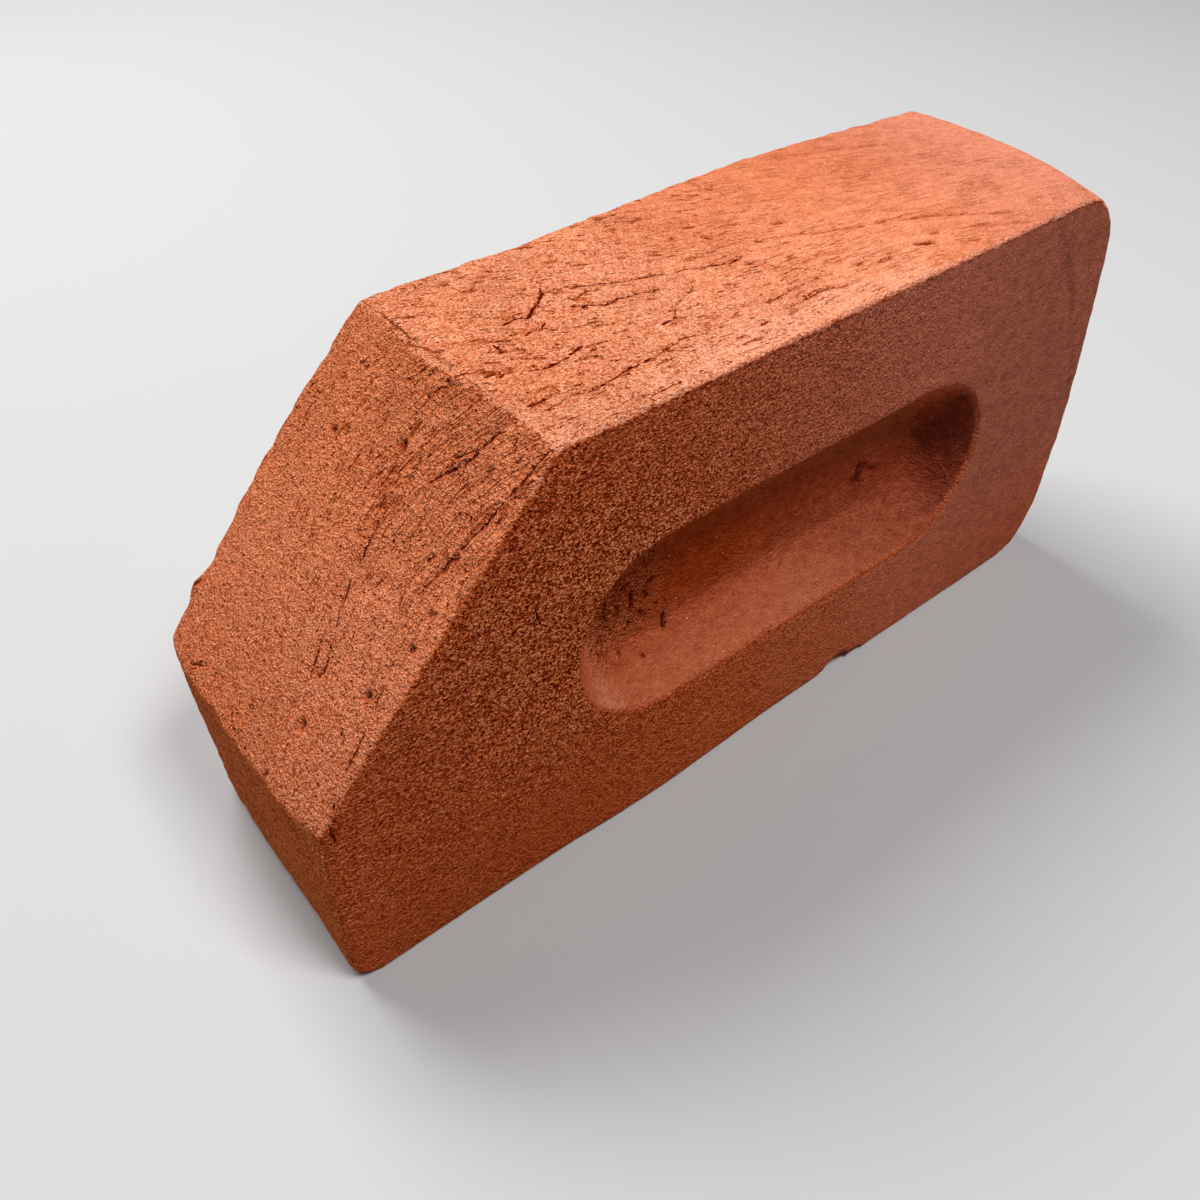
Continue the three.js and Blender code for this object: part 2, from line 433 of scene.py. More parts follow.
def to_path(points, path, normal):
    """How far each point is from a path, how far along it, from 0 to 1, and on which side, -1 or 1."""
    best = np.full(len(points), np.inf)
    where, side = np.zeros(len(points)), np.zeros(len(points))
    for k, (a, b) in enumerate(zip(path[:-1], path[1:])):
        along = b - a
        t = np.clip((points - a) @ along / (along @ along), 0, 1)
        away = points - a - t[:, None] * along
        gap = np.linalg.norm(away, axis=1)
        nearer = gap < best
        best[nearer] = gap[nearer]
        where[nearer] = (k + t[nearer]) / (len(path) - 1)
        side[nearer] = np.sign(away[nearer] @ np.cross(normal, along))
    return best, where, side


def round_path(points, path, reach):
    """Which points lie in the box round a path."""
    return np.all((points > path.min(axis=0) - reach) & (points < path.max(axis=0) + reach), axis=1)


def near_paths(points, paths, reach):
    """Which points lie within reach of a path."""
    found = np.zeros(len(points), bool)
    for _, _, path, normal in paths:
        close = np.flatnonzero(round_path(points, path, reach))
        found[close[to_path(points[close], path, normal)[0] < reach]] = True
    return found


def hill(gap, width):
    """1 at no gap, dying away over width."""
    return np.exp(-((gap / width) ** 2))


def fold_relief(points):
    """The height that the folds add, each point's signed distance to the nearest crack, how deep the crack is
    there, and how much painted shadow the fold gets. The material draws the crack itself, finer than the mesh
    could."""
    wander = [noise(points, 1.3, 5 + k) * 0.15 + noise(points, 4, 8 + k) * 0.3 for k in range(3)]
    wander = np.stack(wander, axis=1)
    height, crack, cracked, shadow = (np.zeros(len(points)) for _ in range(4))
    nearest = np.full(len(points), np.inf)
    for k, (depth, width, path, normal) in enumerate(FOLDS):
        close = np.flatnonzero(round_path(points, path, FOLD_REACH))
        gap, where, side = to_path(points[close] + wander[close], path, normal)
        ends = smoothstep(0, 0.08, where) * (1 - smoothstep(0.92, 1, where))
        strength = ends * np.clip(1.2 + 0.6 * noise(points[close], 1.9, 40 + k), 0.55, 1.5)
        groove = hill(gap, 1.3 * width)
        lip = hill(gap - 2.6 * width, 1.8 * width) * np.where(side > 0, 0.35, 0.1)
        height[close] += strength * depth * (0.45 * lip - 0.22 * groove)
        shadow[close] = np.maximum(shadow[close], strength * depth * hill(gap, 0.75))
        nearer = gap < nearest[close]
        here = close[nearer]
        nearest[here] = gap[nearer]
        crack[here] = (gap * side)[nearer]
        cracked[here] = (strength * depth * smoothstep(1.3, 0.5, gap))[nearer]
    return height, crack, cracked, shadow


def pit_relief(points):
    """The height that the pits take away, as values below zero."""
    height = np.zeros(len(points))
    wander = np.stack([noise(points, 1.1, 15 + k) * 0.2 for k in range(3)], axis=1)
    for depth, width, path, normal in PITS:
        close = np.flatnonzero(round_path(points, path, PIT_REACH))
        gap = to_path(points[close] + wander[close], path, normal)[0]
        height[close] -= depth * hill(gap, width)
    return height


# ---------------------------------------------------------------- swells, edges and chips

# Where the burnt brick departs from straight, as (centre, reach, move). Each dies away over its reach.
SWELLS = [
    ((45, BACK, TOP), (32, 30, 45), (0, 1.7, 0.15)),  # the top's back edge
    ((-18, BACK, TOP), (10, 8, 10), (0, -0.6, -0.2)),
    ((106, BACK, TOP), (28, 25, 45), (0, -3.0, 0)),  # and its far end
    ((RIDGE, FRONT, TOP), (5, 4, 5), (0.2, 1.0, -0.9)),  # the ridge's front end
    ((-52, 6, TOP), (7, 12, 7), (-1.5, 0, -0.5)),  # and its middle
    ((-74, BACK, 81), (24, 22, 24), (-0.45, 0.9, 0.45)),  # the cant's back edge
    ((-98, 33, 55.5), (3, 3, 3), (-0.7, 0.7, 0.5)),
    ((-106, 30, 44), (4, 4, 4), (0.6, -0.5, 0)),
    ((SHORT_END, BACK, 20), (30, 9, 40), (1.3, 0, 0)),  # the short end's back edge
    ((SHORT_END, FRONT, 47), (9, 9, 10), (1.6, 0.5, -0.6)),  # and the top of its front edge
    ((-30, FRONT, BASE), (24, 18, 12), (0, -1.1, 0)),  # the front's foot
    # The square end's front edge, from the top down
    ((SQUARE_END - 0.5, FRONT + 0.5, 86), (25, 25, 12), (-0.6, 0.5, 0)),
    ((SQUARE_END - 0.5, FRONT + 0.5, 42), (30, 30, 22), (0.5, -0.35, 0)),
    ((SQUARE_END - 0.5, FRONT + 0.5, 5), (20, 20, 9), (-0.5, 0.5, 0)),
]

# What is knocked out, as (centre, radii): the front's foot, and the square end's front edge
CHIPS = [
    ((28, FRONT - 0.9, BASE - 1), (6.2, 6.2, 5.4)),
    ((35, FRONT - 0.9, BASE - 1), (6, 4.6, 3.4)),
    ((SQUARE_END + 0.2, FRONT + 0.1, 70), (2.3, 2.3, 1.3)),
    ((SQUARE_END + 0.2, FRONT, 62), (2.3, 2.3, 1.1)),
    ((SQUARE_END + 0.3, FRONT - 0.5, 51), (2.4, 2.4, 1.4)),
    ((SQUARE_END + 0.3, FRONT - 0.4, 40), (2.4, 2.4, 1.0)),
    ((SQUARE_END + 0.5, FRONT - 0.5, 24), (2.8, 2.8, 1.8)),
]


def swollen(points):
    """The points, moved by the swells."""
    total = np.zeros_like(points)
    for centre, reach, move in SWELLS:
        away = (points - centre) / reach
        total += np.exp(-(away**2).sum(axis=1))[:, None] * move
    return points + total


def chipped(points):
    """Pushes what lies inside a chip's ellipsoid, whose surface is uneven, out to it."""
    for centre, radii in CHIPS:
        away = (points - centre) / radii
        away = away * (1 + 0.12 * noise(points, 1.8, 90))[:, None]
        size = np.linalg.norm(away, axis=1, keepdims=True)
        inside = size[:, 0] < 1
        points[inside] = (away / size * radii + centre)[inside]
    return points


def relief_of(points, normals, on):
    """How far moulding and firing moved each point along its normal, apart from the folds and pits."""
    struck_edge = smoothstep(BACK - 7, BACK - 1, points[:, 1])
    waves = (0.22 * noise(points, 34, 1) + 0.09 * noise(points, 11, 2)) * (1 - 0.6 * struck_edge)
    lumps = 0.13 * noise(points, 4.2, 3) + 0.10 * noise(points, 2.3, 4)
    lumps = lumps * (1 - 0.6 * on.frog + 1.9 * on.rough_end)
    ragged = struck_edge * (0.05 * noise(points, 7, 11) + 0.18 * noise(points, 2.4, 12))
    ragged = ragged + on.rest * (0.14 * noise(points, 2.4, 16) + 0.10 * noise(points, 1.4, 17))
    scraped = on.back * 0.35 * noise(points * (0.12, 1, 1), 3.1, 13)
    off_the_floor = smoothstep(-1, 3, points[:, 2] + 1.2 * normals[:, 2])
    return (waves + lumps + ragged + scraped) * off_the_floor


# ---------------------------------------------------------------- where a point lies on the brick


def faces_of(points, normals):
    """How far each point belongs to each face, from 0 to 1. The rough end is a part of the frog, by the cant,
    and the rest, which belongs to no face, is the arrises and corners."""
    x, y, z = points.T
    deep = y - FRONT
    frog = smoothstep(0.6, 1.6, deep) * smoothstep(2, 0.5, np.abs(z - FROG_Z) - FROG_HALF_WIDTH)
    frog = frog * (np.abs(x - FROG_X) < FROG_HALF_LENGTH) * (deep < FROG_REACH_IN)
    on = SimpleNamespace(frog=frog, rough_end=frog * smoothstep(-14, -30, x) * smoothstep(-44, -38, x))
    on.rough_end = on.rough_end * smoothstep(35, 42, z)
    on.top = smoothstep(0.75, 0.95, normals[:, 2]) * (1 - frog)
    on.cant = smoothstep(0.5, 0.68, -normals[:, 0]) * smoothstep(0.4, 0.6, normals[:, 2]) * (1 - frog)
    on.front = smoothstep(0.6, 0.9, -normals[:, 1]) * smoothstep(0.6, 0.3, normals[:, 2]) * (1 - frog)
    on.back = smoothstep(0.6, 0.9, normals[:, 1])
    on.rest = 1 - np.clip(on.top + on.cant + on.front + on.back + frog, 0, 1)
    return on


def zones_of(points, normals, on):
    """The moved points, and how far each belongs to the zones that the photograph shows in another look. Many
    of these zones carry painted light and shade, and one a painted sheen.
    """
    x, y, z = points.T
    at = SimpleNamespace(x=x, y=y, z=z)
    at.along = x - RIDGE  # on the top, away from the ridge
    at.down = -at.along * math.sqrt(2)  # on the cant, away from the ridge
    at.patch = blob(x, z, centre=(-50, 64), reach=(28, 27))  # the front's grittiest patch
    # Toward the far end, where a greyish sheen is painted on
    at.haze = smoothstep(-35, 85, x + 0.4 * (z - 50))
    at.square_end = smoothstep(80, 105, x)

    # Painted light on the frog's lower and left walls, and painted shade at its right end and upper right
    # corner
    at.frog_low = on.frog * smoothstep(43, 29, z + 3 * smoothstep(10, 50, x))
    at.frog_left = on.frog * smoothstep(-35, -44, x) * (0.3 + 0.7 * smoothstep(54, 42, z))
    at.frog_right = on.frog * smoothstep(56, 63, x) * (0.5 + 0.5 * smoothstep(38, 54, z))
    by_the_frog = (np.abs(x - FROG_X) < FROG_HALF_LENGTH + 3) & (np.abs(z - FROG_Z) < FROG_HALF_WIDTH + 4)
    at.frog_lip = on.rest * (by_the_frog & (y < -25))
    at.frog_corner = (on.frog + at.frog_lip) * blob(x, z, centre=(64, 68), reach=(8, 9))

    # Painted light on the top's arris, and painted shade on the front's arris and on the front just under the
    # top's arris
    uneven = normals[:, 2] + 0.22 * noise(points, 1.5, 23)
    by_the_top = smoothstep(90, 98, z)
    at.top_arris = by_the_top * smoothstep(0.42, 0.60, uneven)
    at.undercut = by_the_top * smoothstep(0.05, 0.3, normals[:, 2]) * smoothstep(0.65, 0.5, uneven)
    at.undercut = at.undercut * smoothstep(0.4, 0.7, -normals[:, 1])
    at.front_arris = smoothstep(0.45, 0.8, -normals[:, 1])
    return at


# ---------------------------------------------------------------- masks for the material


def crease_masks(points, on, at):
    """Where the mould dragged the clay. The first is how far a point lies across the drag, which leans as it
    does in the photograph, and the others are how far it is creased, combed and rippled."""
    back_half = smoothstep(-30, 12, at.y)
    top_lean = 0.45 * (back_half * (at.x + 10) + (1 - back_half) * softly(at.x - 42, 8))
    cant_lean = 0.3 * softly(at.down - 32, 8) - 12 * np.tanh(at.down / 20)
    cant_comb = (0.4 + 0.6 * smoothstep(60, 20, at.down)) * (0.2 + 0.8 * smoothstep(25, -5, at.y))
    return {
        "across": at.y + np.where(at.along > 0, top_lean, cant_lean) + 0.3 * noise(points, 5, 20),
        "creased": on.top * (1 - 0.8 * smoothstep(45, 105, at.along))
        + on.cant * (0.5 + 0.5 * smoothstep(55, 15, at.down)),
        "comb": on.cant * cant_comb + 0.45 * on.top * smoothstep(70, 20, at.along),
        "ripple": on.top * smoothstep(25, 75, at.along) * (1 - 0.45 * smoothstep(120, 155, at.along)),
    }


def grain_masks(points, on, at):
    """How strong the sand's relief is, and how strong the painted light and shade on its grains are."""
    front_grit = 0.12 + 1.4 * smoothstep(95, -20, at.x) + 2.2 * at.patch
    return {
        "coarse": on.top * (0.3 + 0.5 * smoothstep(95, 5, at.along) + 0.1 * smoothstep(-15, -30, at.y))
        + on.cant * (0.85 + 0.2 * smoothstep(50, 5, at.down))
        + on.front * (0.1 + 0.55 * smoothstep(100, -10, at.x) + 0.4 * at.patch)
        + 0.8 * on.back
        + 0.35 * on.frog
        + 0.7 * on.rough_end
        + 0.75 * on.rest,
        "grit": on.top * (0.4 + 0.95 * smoothstep(105, 5, at.along))
        + on.cant * (1.0 + 0.3 * smoothstep(50, 5, at.down))
        + on.front * front_grit * (1 - 0.4 * smoothstep(35, 5, at.z))
        + on.back * (1.2 + 0.7 * noise(points, 26, 21))
        + 0.28 * on.frog
        + 1.4 * on.rough_end
        + on.rest * (1.6 - 0.4 * at.square_end - 0.5 * at.top_arris * smoothstep(-20, 40, at.x))
        - 1.1 * at.frog_lip,
    }


def tone_and_painted_light_masks(on, at):
    """How light the clay is, from 0 for the darkest to 1 for the lightest. Much of it is painted light and
    shade: the lit top and cant lighter, the shaded front darker and darker still toward its far end, the frog
    darker in its recess, its lit lower and left walls lighter, its right end, its upper right corner and the
    front under the top's arris in painted shadow, and the arrises painted like the faces beside them.
    """
    top = (
        0.30
        - 0.07 * smoothstep(-30, 10, at.x)
        - 0.15 * smoothstep(30, 90, at.x)
        - 0.04 * smoothstep(0, 15, at.x) * smoothstep(75, 50, at.x)
        - 0.09 * smoothstep(-15, 20, at.y) * smoothstep(-20, 20, at.x) * smoothstep(105, 70, at.x)
        + 0.10 * smoothstep(-18, -30, at.y) * smoothstep(60, 20, at.x)
    )
    front = (
        0.27
        - 0.08 * smoothstep(50, 15, at.z) * smoothstep(-70, 0, at.x)
        + 0.07 * smoothstep(45, 90, at.x)
    )
    # Painted light on the top's arris and painted shade on the front's arris
    rest = 0.22 * at.top_arris - 0.24 * at.front_arris * (1 - at.top_arris) - 0.05 * at.square_end
    return {
        "shade": 0.58
        + on.cant * (0.18 - 0.10 * smoothstep(40, 75, at.down))
        + on.top * top
        - on.front * front
        # Painted shade in the frog's recess, painted lighter near its top, under the lip
        - on.frog * (0.36 - 0.16 * smoothstep(50, 64, at.z))
        - 0.07 * on.back
        + on.rest * rest
        # Painted light on the frog's lower and left walls, and painted shade at its right end, its upper right
        # corner and under the top's arris
        + at.frog_low * (0.26 - 0.15 * smoothstep(10, 50, at.x))
        + 0.24 * at.frog_left
        - 0.25 * at.frog_right
        - 0.16 * at.frog_corner
        + 0.08 * on.rough_end
        - 0.10 * at.undercut,
    }


def hue_and_painted_sheen_masks(on, at):
    """How far the clay is washed over by a duller pink, partly a painted greyish sheen toward the far end, and
    how far it turns from orange to pale, largely a painted sheen on the lit faces: the top, its arris and the
    frog's lower and left walls.
    """
    front_veil = 0.6 - 0.25 * smoothstep(45, 10, at.z) * smoothstep(30, 100, at.x)
    veil = (
        # Partly painted greyish sheen toward the far end
        on.front * (at.haze * front_veil + 0.03 + 0.04 * smoothstep(-55, -95, at.x))
        + on.top * (0.12 * smoothstep(-25, 20, at.x) + 0.5 * smoothstep(40, 110, at.x))
        + on.cant * (0.08 + 0.06 * smoothstep(5, -20, at.y))
        + on.frog * (0.02 + 0.13 * smoothstep(-15, 40, at.x) + 0.2 * smoothstep(46, 32, at.z))
        + on.back * 0.12
        + on.rest * (0.3 * at.square_end + at.top_arris * (0.2 + 0.4 * at.haze))
        + 0.07 * at.frog_left
        + 0.15 * at.frog_right
        + 0.15 * at.frog_lip
    )
    front_pale = 0.32 - 0.25 * at.patch + 0.14 * smoothstep(-60, 0, at.x) * smoothstep(50, 80, at.z)
    # Largely painted sheen on the lit faces
    pale = (
        on.front * front_pale
        + on.top * (0.70 + 0.22 * smoothstep(-45, 5, at.x))
        + on.cant * (0.23 + 0.27 * smoothstep(20, 70, at.down))
        + on.frog * (0.3 + 0.4 * smoothstep(-30, 20, at.x))
        + on.back * 0.5
        + on.rest * (0.15 + 0.3 * at.square_end + 0.45 * at.top_arris)
        + 0.5 * at.frog_left
        + 0.8 * at.frog_low
    )
    return {"veil": veil, "pale": np.clip(pale, 0, 1)}


# ---------------------------------------------------------------- the brick


def brick_mesh():
    points, tris = refined_copy(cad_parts[NODE])
    normals = normals_of(points, tris)
    on = faces_of(points, normals)
    fold, crack, cracked, shadow = fold_relief(points)
    pit = pit_relief(points)
    relief = fold + pit + relief_of(points, normals, on)
    points = chipped(swollen(points) + normals * relief[:, None])

    mesh = bpy.data.meshes.new("brick")
    mesh.from_pydata((points * MM).tolist(), [], tris.tolist())
    mesh.shade_smooth()
    at = zones_of(points, normals, on)
    masks = {
        "crack": crack,
        "cracked": cracked * (1 - 0.75 * smoothstep(-25, 35, at.x)),
        # Painted shade in the pits, and painted shadow beside the folds
        "pit": np.clip(0.2 * shadow - pit, 0, 1),
        **crease_masks(points, on, at),
        **grain_masks(points, on, at),
        **tone_and_painted_light_masks(on, at),
        **hue_and_painted_sheen_masks(on, at),
    }
    for name, values in masks.items():
        attribute = mesh.attributes.new(name, "FLOAT", "POINT")
        attribute.data.foreach_set("value", values.astype(np.float32))
    return mesh


brick = bpy.data.objects.new("brick", brick_mesh())
bpy.context.scene.collection.objects.link(brick)
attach(brick, "root")
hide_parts(NODE)

# ---------------------------------------------------------------- material


class Nodes:
    """Builds a material's nodes. An input is a number, a tuple, or another node's output."""

    def __init__(self, material):
        material.use_nodes = True
        self.tree = material.node_tree

    def add(self, kind, inputs=(), **settings):
        node = self.tree.nodes.new(kind)
        for name, value in settings.items():
            setattr(node, name, value)
        for name, value in dict(inputs).items():
            self.feed(node.inputs[name], value)
        return node

    def feed(self, socket, value):
        if isinstance(value, bpy.types.NodeSocket):
            self.tree.links.new(value, socket)
        else:
            socket.default_value = value

    def math(self, operation, *values, clamp=False):
        node = self.add("ShaderNodeMath", operation=operation, use_clamp=clamp)
        for socket, value in zip(node.inputs, values):
            self.feed(socket, value)
        return node.outputs[0]

    def total(self, *values):
        """The sum of several values, each of them an output or (output, factor)."""
        sum_so_far = None
        for value in values:
            term = self.math("MULTIPLY", *value) if isinstance(value, tuple) else value
            sum_so_far = term if sum_so_far is None else self.math("ADD", sum_so_far, term)
        return sum_so_far

    def vector(self, operation, *values):
        node = self.add("ShaderNodeVectorMath", operation=operation)
        for socket, value in zip(node.inputs, values):
            self.feed(socket, value)
        return node.outputs[0]

    def dot(self, *values):
        node = self.add("ShaderNodeVectorMath", operation="DOT_PRODUCT")
        for socket, value in zip(node.inputs, values):
            self.feed(socket, value)
        return node.outputs["Value"]

    def ramp(self, value, a, b, out_a=0.0, out_b=1.0):
        """out_a below a, out_b above b, and smooth between them."""
        node = self.add(
            "ShaderNodeMapRange",
            {"Value": value, "From Min": a, "From Max": b, "To Min": out_a, "To Max": out_b},
            interpolation_type="SMOOTHSTEP",
        )
        return node.outputs["Result"]

    def mix(self, share, a, b):
        """Colour a, with b in its place by share."""
        node = self.add("ShaderNodeMix", data_type="RGBA")
        factor, first, second = (node.inputs[k] for k in (0, 6, 7))
        for socket, value in ((factor, share), (first, a), (second, b)):
            self.feed(socket, value)
        return node.outputs[2]

    def noise(self, where, size, detail=2, roughness=0.5):
        """Noise about zero, from -0.5 to 0.5, whose waves are about size long."""
        node = self.add(
            "ShaderNodeTexNoise",
            {"Vector": where, "Scale": 1 / size, "Detail": detail, "Roughness": roughness},
        )
        return self.math("SUBTRACT", node.outputs["Fac"], 0.5)

    def cells(self, where, size):
        """The distance to the middle of the nearest cell, in cells, and three random numbers for it."""
        node = self.add("ShaderNodeTexVoronoi", {"Vector": where, "Scale": 1 / size})
        parts = self.add("ShaderNodeSeparateColor", {"Color": node.outputs["Color"]})
        return node.outputs["Distance"], *parts.outputs

    def attribute(self, name):
        return self.add("ShaderNodeAttribute", attribute_name=name).outputs["Fac"]


def drifting(n, place):
    """Small random moves, about zero, that break up what would be too even."""
    colour = n.add("ShaderNodeTexNoise", {"Vector": place, "Scale": 2.2, "Detail": 2}).outputs["Color"]
    return n.vector("MULTIPLY", n.vector("SUBTRACT", colour, (0.5, 0.5, 0.5)), (0.6, 0.6, 0.6))


def sand_of(n, place, shift, mask):
    """Sand grains of two sizes, each a little higher or lower than its neighbours, and pores between them."""
    shifted = n.vector("ADD", place, shift)
    grain, grain_step, grain_glint, _ = n.cells(shifted, 0.6)
    small, small_step, small_glint, _ = n.cells(shifted, 0.42)
    pore, pore_chance, *_ = n.cells(shifted, 1.1)
    pores = n.math("MULTIPLY", n.ramp(pore, 0.14, 0.30, 1, 0), n.ramp(pore_chance, 0.5, 0.75))
    return SimpleNamespace(
        height=n.total(
            (n.math("SUBTRACT", 0.55, grain), 0.22),
            (n.math("SUBTRACT", 0.55, small), 0.32),
            (n.math("SUBTRACT", grain_step, 0.5), 0.11),
            (n.math("SUBTRACT", small_step, 0.5), 0.16),
            (n.noise(place, 0.6, 3, 0.75), 0.70),
        ),
        # Lighter grains, partly pale grains and partly painted highlights on their tops
        bright=n.total(
            n.math("MULTIPLY", n.ramp(grain_glint, 0.80, 0.92), n.ramp(grain, 0.2, 0.5, 1, 0)),
            n.math("MULTIPLY", n.ramp(small_glint, 0.70, 0.85), n.ramp(small, 0.2, 0.5, 1, 0)),
        ),
        quartz=n.math("MULTIPLY", n.ramp(small_glint, 0.9972, 0.9976), n.ramp(small, 0.30, 0.45, 1, 0)),
        pores=n.math("MULTIPLY", pores, n.ramp(mask.coarse, 0.35, 0.9, 0, 1)),
    )


def creases_of(n, place, shift, mask):
    """The lines and pits that the mould dragged along the creased faces, and the combed look round them."""
    across = n.add("ShaderNodeCombineXYZ", {"Y": mask.across}).outputs[0]

    def dragged(along):
        """A place that changes fully across the drag, and only by a share, along, in its direction."""
        return n.vector("ADD", n.vector("MULTIPLY", place, (along, 0, along)), across)

    def lines(noise, inner, outer):
        """Lines where the noise passes zero, fading between two values of it."""
        return n.ramp(n.math("ABSOLUTE", noise), inner, outer, 1, 0)

    drawn = dragged(0.3)
    ragged = n.vector("ADD", drawn, shift)
    pulled = n.vector("ADD", dragged(0.1), n.vector("MULTIPLY", shift, (0.5, 0.5, 0.5)))
    dashes = n.ramp(n.total(n.noise(ragged, 0.8, 2, 0.6), (n.noise(place, 6, 2), 0.4)), -0.215, -0.13, 1, 0)
    furrowed = n.math("MULTIPLY", n.ramp(n.noise(place, 8, 2), -0.08, 0.1), mask.ripple)
    streaked = n.ramp(n.total(n.noise(place, 4.5, 2, 0.6), (mask.comb, 0.24)), 0.12, 0.24)
    scored = n.math("MULTIPLY", n.ramp(n.noise(place, 3.5, 2), -0.1, 0.1), mask.comb)
    return SimpleNamespace(
        combed=n.math("MULTIPLY", n.noise(drawn, 2.1, 2, 0.5), mask.comb),
        rippled=n.math("MULTIPLY", n.noise(pulled, 2.2, 2, 0.5), mask.ripple),
        dashes=n.math("MULTIPLY", dashes, n.ramp(mask.creased, 0, 1, 0.05, 1)),
        furrows=n.math("MULTIPLY", lines(n.noise(ragged, 3.4, 2, 0.5), 0, 0.06), furrowed),
        streaks=n.math(
            "MULTIPLY",
            lines(n.noise(pulled, 3.0, 1, 0.5), 0.008, 0.035),
            n.math("MULTIPLY", streaked, mask.creased),
        ),
        scores=n.math("MULTIPLY", lines(n.noise(pulled, 1.7, 2, 0.5), 0.01, 0.05), scored),
    )


def cracks_of(n, place, knobs, mask):
    """The cracks at the bottom of the folds, and the crumbs lost along them."""
    wiggle = n.total(mask.crack, (n.noise(place, 0.9, 2, 0.65), 0.7))
    gape = n.total(0.05, (mask.cracked, 0.13), (n.noise(place, 1.1, 1), 0.7))
    crack = n.ramp(n.math("ABSOLUTE", wiggle), n.total(gape, -0.05), n.total(gape, 0.08), 1, 0)
    crumbling = n.math("MAXIMUM", n.ramp(mask.cracked, 0, 0.8), n.math("MULTIPLY", mask.creased, 0.4))
    return SimpleNamespace(
        crack=n.math("MULTIPLY", crack, n.ramp(mask.cracked, 0.05, 0.8), clamp=True),
        crumbs=n.math("MULTIPLY", n.ramp(knobs, -0.18, -0.08, 1, 0), crumbling, clamp=True),
    )


# Fired clay from dark to light, as (tone, linear colour). The darker stops mostly colour painted shade.
CLAY = (
    (0.0, (0.11, 0.006, 0.001, 1)),
    (0.3, (0.34, 0.045, 0.008, 1)),
    (0.55, (0.52, 0.096, 0.026, 1)),
    (0.75, (0.66, 0.168, 0.066, 1)),
    (1.0, (0.88, 0.300, 0.158, 1)),
)
# The pale tint is largely painted sheen on the lit faces; the veil's tint is partly painted sheen toward the
# far end
ORANGE_TINT, PALE_TINT = (1, 0.93, 0.62, 1), (1, 1.36, 1.75, 1)
VEIL_TINT = (1, 0.38, 0.26)
QUARTZ = (0.95, 0.50, 0.30, 1)


def colour_of(n, tone, quartz, mask):
    """The clay's colour for its tone, which carries painted light and shade, made paler and veiled as the
    masks say, both partly painted sheen, with glints of quartz.
    """
    colours = n.add("ShaderNodeValToRGB", {"Fac": tone})
    for stop, (at, colour) in enumerate(CLAY):
        element = colours.color_ramp.elements[stop] if stop < 2 else colours.color_ramp.elements.new(at)
        element.position, element.color = at, colour
    pale = n.math("MULTIPLY", mask.pale, n.ramp(tone, 0.1, 0.6))
    tinted = n.vector("MULTIPLY", colours.outputs["Color"], n.mix(pale, ORANGE_TINT, PALE_TINT))
    red = n.add("ShaderNodeSeparateColor", {"Color": tinted}).outputs["Red"]
    grey = n.add("ShaderNodeCombineXYZ", {"X": red, "Y": red, "Z": red}).outputs[0]
    veiled = n.mix(mask.veil, tinted, n.vector("MULTIPLY", grey, VEIL_TINT))
    return n.mix(quartz, veiled, QUARTZ)


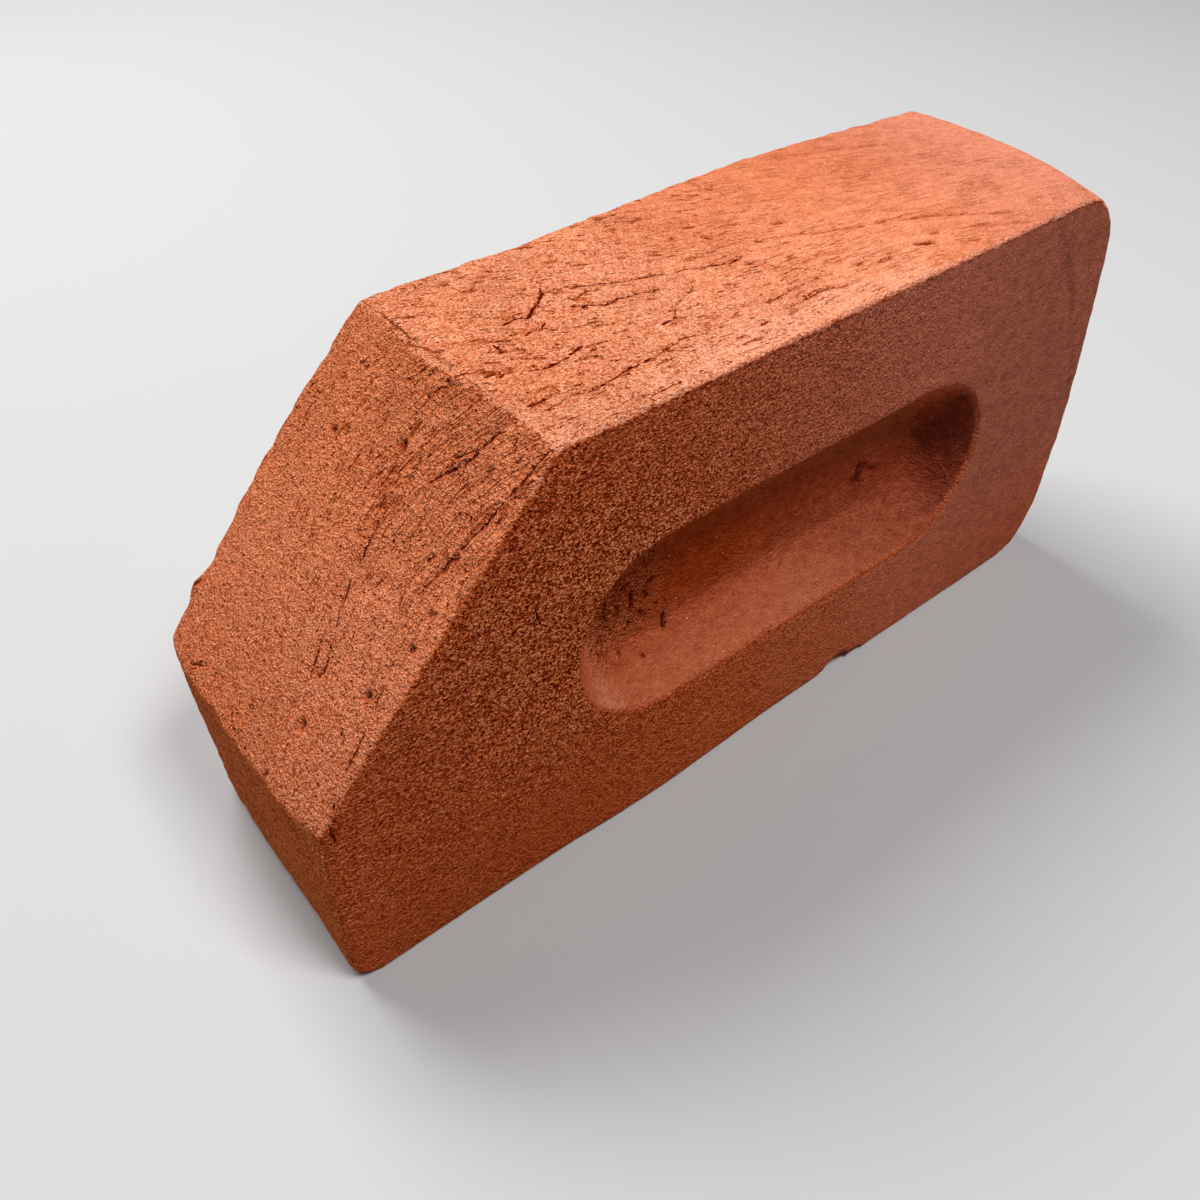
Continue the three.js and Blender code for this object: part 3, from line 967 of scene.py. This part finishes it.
def clay_material():
    material = bpy.data.materials.new("sanded_clay")
    n = Nodes(material)
    place = n.vector("MULTIPLY", n.add("ShaderNodeTexCoord").outputs["Object"], (1 / MM, 1 / MM, 1 / MM))
    names = "crack cracked pit across creased comb ripple coarse grit shade veil pale".split()
    mask = SimpleNamespace(**{name: n.attribute(name) for name in names})
    shift = drifting(n, place)
    sand = sand_of(n, place, shift, mask)
    crease = creases_of(n, place, shift, mask)
    lumps = n.noise(place, 2.4, 3, 0.65)
    knobs = n.noise(place, 1.3, 2, 0.6)
    patch = n.noise(place, 13, 2)
    fault = cracks_of(n, place, knobs, mask)

    strength = n.ramp(mask.coarse, 0.1, 1.6, 0.12, 1.2)
    strength = n.math("MULTIPLY", strength, n.ramp(patch, -0.16, 0.16, 0.8, 1.2))
    height = n.total(
        n.math("MULTIPLY", sand.height, strength),
        n.math("MULTIPLY", lumps, n.ramp(mask.coarse, 0.1, 0.6, 0.25, 0.6)),
        n.math("MULTIPLY", knobs, n.ramp(mask.coarse, 0.3, 1.2, 0.1, 0.75)),
        (crease.combed, 0.7),
        (crease.rippled, 0.6),
        (crease.furrows, -0.2),
        (crease.scores, -0.25),
        (crease.dashes, -0.3),
        (crease.streaks, -0.25),
        (fault.crack, -0.5),
        (fault.crumbs, -0.3),
        (sand.pores, -0.3),
    )
    bump = n.add("ShaderNodeBump", {"Height": height, "Distance": MM, "Strength": 1.0}).outputs["Normal"]

    # Tone, much of it painted light and shade: painted shade between the grains, in the pores, cracks, dashes,
    # streaks, scores and furrows and in the hollows of the lumps and combing, painted light on the grains'
    # tops, and painted skylight, lighter where the bump turns to the sky and darker where it turns away
    sky = (0, 0.15, 0.99)
    smooth = n.add("ShaderNodeNewGeometry").outputs["Normal"]
    turned_up = n.math("SUBTRACT", n.dot(bump, sky), n.dot(smooth, sky))
    lump_tone = n.total(n.ramp(mask.grit, 0.3, 0.9, 0.38, 0.20), n.ramp(mask.grit, 1.4, 3.0, 0, 0.52))
    tone = n.total(
        mask.shade,
        (turned_up, 0.5),
        n.math("MULTIPLY", n.math("SUBTRACT", sand.height, 0.03), mask.grit),
        n.math("MULTIPLY", sand.bright, n.ramp(mask.grit, 1.2, 3.0, 0.04, 0.5)),
        n.math("MULTIPLY", lumps, lump_tone),
        (patch, 0.06),
        (crease.combed, 0.40),
        (crease.rippled, 0.2),
        (crease.furrows, -0.07),
        (crease.scores, -0.15),
        (crease.dashes, -0.45),
        (crease.streaks, -0.25),
        (fault.crack, -0.6),
        (fault.crumbs, -0.25),
        (sand.pores, -0.45),
        (mask.pit, -0.6),
    )

    shader = n.tree.nodes["Principled BSDF"]
    n.feed(shader.inputs["Base Color"], colour_of(n, tone, sand.quartz, mask))
    n.feed(shader.inputs["Roughness"], n.ramp(sand.quartz, 0, 1, 0.9, 0.6))
    n.feed(shader.inputs["Normal"], bump)
    shader.inputs["Specular IOR Level"].default_value = 0
    return material


brick.data.materials.append(clay_material())

# ---------------------------------------------------------------- stage

FLOOR_SIZE = 12  # metres
PAPER_GREY = 0.5
AMBIENT = 0.045

bpy.ops.mesh.primitive_plane_add(size=FLOOR_SIZE)
floor = bpy.context.object
floor.name = "floor"
paper = bpy.data.materials.new("paper")
paper.use_nodes = True
paper_shader = paper.node_tree.nodes["Principled BSDF"]
paper_shader.inputs["Base Color"].default_value = (PAPER_GREY, PAPER_GREY, PAPER_GREY, 1)
paper_shader.inputs["Roughness"].default_value = 0.9
paper_shader.inputs["Specular IOR Level"].default_value = 0
floor.data.materials.append(paper)


def area_light(name, place, size, watts):
    """A soft white light at place, in metres, turned to the middle of the brick."""
    light = bpy.data.lights.new(name, "AREA")
    light.shape = "RECTANGLE"
    light.size, light.size_y = size
    light.energy = watts
    lamp = bpy.data.objects.new(name, light)
    bpy.context.scene.collection.objects.link(lamp)
    lamp.location = place
    middle = Vector((0, 0, TOP / 2 * MM))
    lamp.rotation_euler = (middle - lamp.location).to_track_quat("-Z", "Y").to_euler()


area_light("key", place=(-0.1, 0.75, 1.05), size=(0.7, 0.7), watts=19)
area_light("front", place=(0.15, -0.55, 1.1), size=(0.4, 0.3), watts=11)

world = bpy.data.worlds.new("studio")
bpy.context.scene.world = world
world.use_nodes = True
world.node_tree.nodes["Background"].inputs["Color"].default_value = (1, 1, 1, 1)
world.node_tree.nodes["Background"].inputs["Strength"].default_value = AMBIENT

camera = bpy.data.objects.new("camera", bpy.data.cameras.new("camera"))
bpy.context.scene.collection.objects.link(camera)
camera.data.sensor_width = 36
camera.data.lens = camera.data.sensor_width * FOCAL / PHOTO_SIZE
camera.data.clip_start = 0.01
camera.matrix_world = Matrix.LocRotScale(Vector(EYE * MM), CAMERA_AXES, None)
bpy.context.scene.camera = camera
bpy.context.scene.view_settings.view_transform = "Standard"
